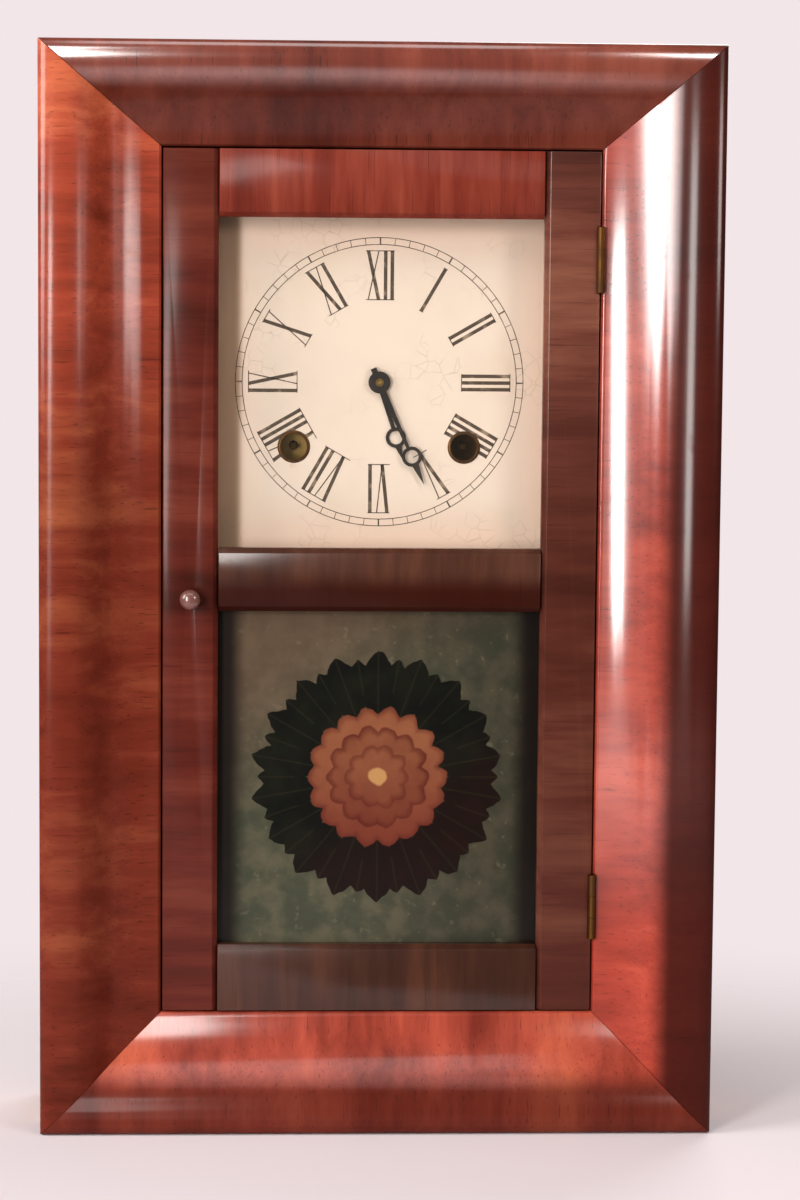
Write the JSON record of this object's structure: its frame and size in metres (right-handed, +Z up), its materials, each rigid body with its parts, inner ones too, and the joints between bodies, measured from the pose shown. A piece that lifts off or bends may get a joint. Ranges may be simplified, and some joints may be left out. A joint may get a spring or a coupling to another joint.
{
  "type": "ogee shelf clock",
  "caption": "Weight-driven striking shelf clock in a mitred ogee case, with a glazed hinged door, painted dial, geared movement, pendulum, gong and weights.",
  "frame": {"origin": "centre of the case's footprint, on the surface that the clock stands on", "axes": "+Z up, -Y out of the dial towards the viewer, +X to the viewer's right"},
  "size_m": [0.394, 0.114, 0.635],
  "materials": {
    "mahogany": "polished red-brown veneer",
    "pine": "plain oiled pine",
    "painted_zinc": "satin cream paint",
    "clear_glass": "old clear glass",
    "painted_tablet": "reverse-painted glass",
    "brass": "aged brass",
    "steel": "dull steel",
    "black_iron": "black painted iron",
    "cast_iron": "rough casting",
    "pale_knob": "glazed pale pink",
    "cord": "braided linen cord"
  },
  "bodies": {
    "case": {"case_left_board": "pine", "case_right_board": "pine", "case_bottom_board": "pine", "case_top_board": "pine", "backboard": "pine", "ogee_left": "mahogany", "ogee_right": "mahogany", "ogee_top": "mahogany", "ogee_bottom": "mahogany", "left_channel_board": "pine", "right_channel_board": "pine", "lower_hinge_case_leaf": "brass", "upper_hinge_case_leaf": "brass", "dial_plate": "painted_zinc", "movement_front_plate": "brass", "movement_back_plate": "brass", "gong_coil": "steel", "gong_base": "cast_iron", "time_cord": "cord", "strike_cord": "cord", "time_cord_drop": "cord", "strike_cord_drop": "cord"},
    "door": {"door_left_stile": "mahogany", "door_right_stile": "mahogany", "door_top_rail": "mahogany", "door_middle_rail": "mahogany", "door_bottom_rail": "mahogany", "dial_glass": "clear_glass", "tablet_glass": "painted_tablet", "lower_hinge_door_leaf": "brass", "upper_hinge_door_leaf": "brass"},
    "latch": {"door_knob": "pale_knob", "latch_tongue": "brass"},
    "minute": {"cannon_pinion": "brass", "minute_hand": "black_iron"},
    "hour": {"hour_wheel": "brass", "hour_hand": "black_iron"},
    "motion_wheel": {"minute_wheel": "brass"},
    "escape": {"escape_wheel": "brass"},
    "third": {"third_wheel": "brass"},
    "centre": {"centre_wheel": "brass"},
    "second": {"second_wheel": "brass"},
    "time_great": {"time_great_wheel": "brass"},
    "time_click": {"time_click": "steel"},
    "time_drum": {"time_drum": "brass"},
    "time_pulley": {"time_pulley": "brass"},
    "time_weight": {"time_weight": "cast_iron"},
    "verge": {"verge": "steel"},
    "pendulum": {"pendulum_rod": "steel", "pendulum_bob": "brass"},
    "fly": {"fly": "brass"},
    "warning": {"warning_wheel": "brass"},
    "pin": {"pin_wheel": "brass"},
    "strike_great": {"strike_great_wheel": "brass"},
    "count": {"count_wheel": "brass"},
    "strike_click": {"strike_click": "steel"},
    "strike_drum": {"strike_drum": "brass"},
    "strike_pulley": {"strike_pulley": "brass"},
    "strike_weight": {"strike_weight": "cast_iron"},
    "hammer": {"strike_hammer": "steel"}
  },
  "joints": [
    {"name": "door_swing", "type": "hinge", "parent": "case", "child": "door", "pos_m": [0.1265, -0.0405, 0.323], "axis": [0, 0, 1], "range_deg": [0, 150]},
    {"name": "latch_turn", "type": "hinge", "parent": "door", "child": "latch", "pos_m": [-0.11, -0.039, 0.3145], "axis": [0, 1, 0], "range_deg": [0, 90]},
    {"name": "minute_hand_turn", "type": "hinge", "parent": "case", "child": "minute", "pos_m": [0, 0, 0.4395], "axis": [0, 1, 0], "continuous": true},
    {"name": "hour_hand_turn", "type": "hinge", "parent": "case", "child": "hour", "pos_m": [0, 0, 0.4395], "axis": [0, 1, 0], "continuous": true},
    {"name": "minute_wheel_turn", "type": "hinge", "parent": "case", "child": "motion_wheel", "pos_m": [0.008, 0, 0.42564], "axis": [0, 1, 0], "continuous": true},
    {"name": "escape_wheel_turn", "type": "hinge", "parent": "case", "child": "escape", "pos_m": [0, 0, 0.4775], "axis": [0, 1, 0], "continuous": true},
    {"name": "third_wheel_turn", "type": "hinge", "parent": "case", "child": "third", "pos_m": [-0.01258, 0, 0.45994], "axis": [0, 1, 0], "continuous": true},
    {"name": "centre_wheel_turn", "type": "hinge", "parent": "case", "child": "centre", "pos_m": [0, 0, 0.4395], "axis": [0, 1, 0], "continuous": true},
    {"name": "second_wheel_turn", "type": "hinge", "parent": "case", "child": "second", "pos_m": [0.03027, 0, 0.42795], "axis": [0, 1, 0], "continuous": true},
    {"name": "time_great_wheel_turn", "type": "hinge", "parent": "case", "child": "time_great", "pos_m": [0.05, 0, 0.4015], "axis": [0, 1, 0], "continuous": true},
    {"name": "pendulum_swing", "type": "hinge", "parent": "case", "child": "pendulum", "pos_m": [0, 0.04635, 0.5045], "axis": [0, 1, 0], "range_deg": [-3.5, 3.5]},
    {"name": "verge_rock", "type": "hinge", "parent": "case", "child": "verge", "pos_m": [0, 0, 0.5045], "axis": [0, 1, 0], "range_deg": [-3.5, 3.5]},
    {"name": "fly_turn", "type": "hinge", "parent": "case", "child": "fly", "pos_m": [-0.04106, 0, 0.46397], "axis": [0, 1, 0], "continuous": true},
    {"name": "warning_wheel_turn", "type": "hinge", "parent": "case", "child": "warning", "pos_m": [-0.03814, 0, 0.44743], "axis": [0, 1, 0], "continuous": true},
    {"name": "pin_wheel_turn", "type": "hinge", "parent": "case", "child": "pin", "pos_m": [-0.03027, 0, 0.42795], "axis": [0, 1, 0], "continuous": true},
    {"name": "strike_great_wheel_turn", "type": "hinge", "parent": "case", "child": "strike_great", "pos_m": [-0.05, 0, 0.4015], "axis": [0, 1, 0], "continuous": true},
    {"name": "count_wheel_turn", "type": "hinge", "parent": "case", "child": "count", "pos_m": [-0.05, 0, 0.4015], "axis": [0, 1, 0], "continuous": true},
    {"name": "hammer_lift", "type": "hinge", "parent": "case", "child": "hammer", "pos_m": [-0.014, 0, 0.3895], "axis": [0, 1, 0], "range_deg": [0, 12]},
    {"name": "time_click_lift", "type": "hinge", "parent": "time_great", "child": "time_click", "pos_m": [0.05, 0, 0.4174], "axis": [0, 1, 0], "range_deg": [0, 10], "stiffness_Nm_per_rad": 0.005, "springref_deg": -5.73},
    {"name": "time_weight_lift", "type": "slide", "parent": "case", "child": "time_weight", "axis": [0, 0, 1], "range_m": [0, 0.39], "deforming": ["time_cord_drop"]},
    {"name": "time_drum_turn", "type": "hinge", "parent": "case", "child": "time_drum", "pos_m": [0.05, 0, 0.4015], "axis": [0, -1, 0], "range_deg": [0, 1740]},
    {"name": "time_pulley_turn", "type": "hinge", "parent": "case", "child": "time_pulley", "pos_m": [0.1374, 0, 0.604], "axis": [0, -1, 0], "range_deg": [0, 1640]},
    {"name": "strike_click_lift", "type": "hinge", "parent": "strike_great", "child": "strike_click", "pos_m": [-0.05, 0, 0.4174], "axis": [0, -1, 0], "range_deg": [0, 10], "stiffness_Nm_per_rad": 0.005, "springref_deg": -5.73},
    {"name": "strike_weight_lift", "type": "slide", "parent": "case", "child": "strike_weight", "axis": [0, 0, 1], "range_m": [0, 0.39], "deforming": ["strike_cord_drop"]},
    {"name": "strike_drum_turn", "type": "hinge", "parent": "case", "child": "strike_drum", "pos_m": [-0.05, 0, 0.4015], "axis": [0, 1, 0], "range_deg": [0, 1740]},
    {"name": "strike_pulley_turn", "type": "hinge", "parent": "case", "child": "strike_pulley", "pos_m": [-0.1374, 0, 0.604], "axis": [0, 1, 0], "range_deg": [0, 1640]}
  ],
  "couplings": [
    {"joint": "minute_wheel_turn", "follows": "minute_hand_turn", "ratio": -0.33333},
    {"joint": "hour_hand_turn", "follows": "minute_hand_turn", "ratio": 0.083333},
    {"joint": "third_wheel_turn", "follows": "escape_wheel_turn", "ratio": -0.125},
    {"joint": "centre_wheel_turn", "follows": "escape_wheel_turn", "ratio": 0.013889},
    {"joint": "second_wheel_turn", "follows": "escape_wheel_turn", "ratio": -0.0069444},
    {"joint": "time_great_wheel_turn", "follows": "escape_wheel_turn", "ratio": 0.0023148},
    {"joint": "verge_rock", "follows": "pendulum_swing", "ratio": 1},
    {"joint": "warning_wheel_turn", "follows": "fly_turn", "ratio": -0.16667},
    {"joint": "pin_wheel_turn", "follows": "fly_turn", "ratio": 0.027778},
    {"joint": "strike_great_wheel_turn", "follows": "fly_turn", "ratio": -0.0092593},
    {"joint": "count_wheel_turn", "follows": "fly_turn", "ratio": -0.0046296},
    {"joint": "time_drum_turn", "follows": "time_weight_lift", "rad_per_m": 75.758},
    {"joint": "time_pulley_turn", "follows": "time_weight_lift", "rad_per_m": 71.429},
    {"joint": "strike_drum_turn", "follows": "strike_weight_lift", "rad_per_m": 75.758},
    {"joint": "strike_pulley_turn", "follows": "strike_weight_lift", "rad_per_m": 71.429}
  ]
}
